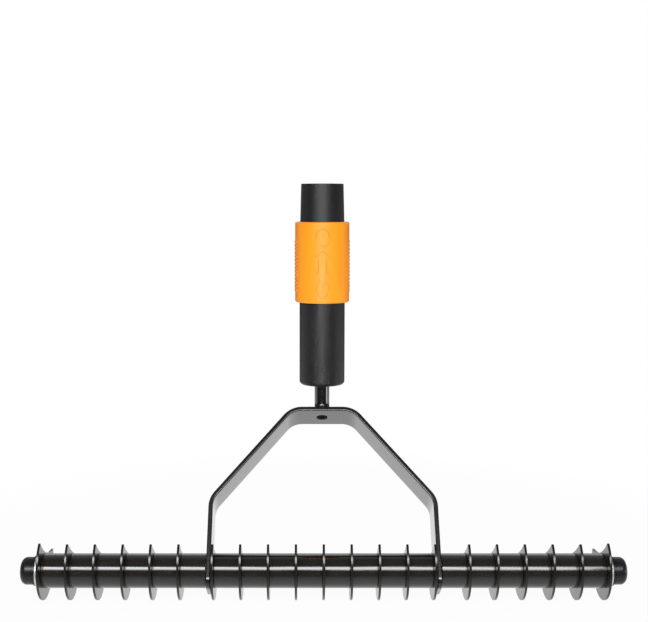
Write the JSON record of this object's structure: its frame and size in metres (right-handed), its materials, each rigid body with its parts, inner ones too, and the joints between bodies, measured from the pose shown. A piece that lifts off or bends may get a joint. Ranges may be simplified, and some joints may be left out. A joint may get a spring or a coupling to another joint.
{
  "type": "thatch rake head",
  "caption": "Quick-fit thatch rake head: a handle socket with a sprung locking sleeve, a bent shank, a strap yoke and a free-turning roller of sickle blades.",
  "frame": {"origin": "centre of the socket's mouth rim", "axes": "+Z out of the socket's mouth and up the handle, +X along the roller, -Y towards the user"},
  "size_m": [0.3898, 0.101, 0.2696],
  "materials": {
    "socket_plastic": "fine moulded grain",
    "sleeve_plastic": "satin orange moulding",
    "ring_plastic": "plain moulding",
    "black_coat": "gloss black coat",
    "blade_coat": "gloss black coat on thin plate",
    "screw_steel": "black oxide",
    "spacer_plastic": "gloss black tube",
    "cap_plastic": "satin black moulding",
    "bush_plastic": "plain bearing plastic",
    "zinc_steel": "bright zinc plate",
    "spring_steel": "drawn wire",
    "ball_steel": "polished ball"
  },
  "bodies": {
    "socket": {"socket_body": "socket_plastic", "shank": "black_coat", "yoke": "black_coat", "yoke_screw": "screw_steel", "stop_ring": "zinc_steel", "sleeve_spring": "spring_steel"},
    "sleeve": {"locking_sleeve": "sleeve_plastic", "sleeve_end_ring": "ring_plastic"},
    "latch_left": {"latch_ball_left": "ball_steel"},
    "latch_right": {"latch_ball_right": "ball_steel"},
    "roller": {"axle": "zinc_steel", "bush_left": "bush_plastic", "bush_right": "bush_plastic", "end_washers": "zinc_steel", "lock_nuts": "zinc_steel", "end_cap_left": "cap_plastic", "end_cap_right": "cap_plastic", "blade_01": "blade_coat", "blade_02": "blade_coat", "blade_03": "blade_coat", "blade_04": "blade_coat", "blade_05": "blade_coat", "blade_06": "blade_coat", "blade_07": "blade_coat", "blade_08": "blade_coat", "blade_09": "blade_coat", "blade_10": "blade_coat", "blade_11": "blade_coat", "blade_12": "blade_coat", "blade_13": "blade_coat", "blade_14": "blade_coat", "blade_15": "blade_coat", "blade_16": "blade_coat", "blade_17": "blade_coat", "blade_18": "blade_coat", "blade_19": "blade_coat", "blade_20": "blade_coat", "blade_21": "blade_coat", "spacer_01": "spacer_plastic", "spacer_02": "spacer_plastic", "spacer_03": "spacer_plastic", "spacer_04": "spacer_plastic", "spacer_05": "spacer_plastic", "spacer_06": "spacer_plastic", "spacer_07": "spacer_plastic", "spacer_08": "spacer_plastic", "spacer_09": "spacer_plastic", "spacer_10": "spacer_plastic", "spacer_11": "spacer_plastic", "spacer_12": "spacer_plastic", "spacer_13": "spacer_plastic", "spacer_14": "spacer_plastic", "spacer_15": "spacer_plastic", "spacer_16": "spacer_plastic", "spacer_17": "spacer_plastic", "spacer_18": "spacer_plastic", "spacer_19": "spacer_plastic", "spacer_20": "spacer_plastic"}
  },
  "joints": [
    {"name": "sleeve_slide", "type": "slide", "parent": "socket", "child": "sleeve", "axis": [0, 0, 1], "range_m": [0, 0.008], "stiffness_N_per_m": 800, "springref_m": -0.006, "deforming": ["sleeve_spring"]},
    {"name": "latch_left_slide", "type": "slide", "parent": "socket", "child": "latch_left", "axis": [-1, 0, 0], "range_m": [0, 0.0011]},
    {"name": "latch_right_slide", "type": "slide", "parent": "socket", "child": "latch_right", "axis": [1, 0, 0], "range_m": [0, 0.0011]},
    {"name": "roller_turn", "type": "hinge", "parent": "socket", "child": "roller", "pos_m": [0, -0.06484, -0.24957], "axis": [1, 0, 0], "continuous": true}
  ],
  "couplings": [
    {"joint": "latch_left_slide", "follows": "sleeve_slide", "ratio": 0.13125},
    {"joint": "latch_right_slide", "follows": "sleeve_slide", "ratio": 0.13125}
  ]
}
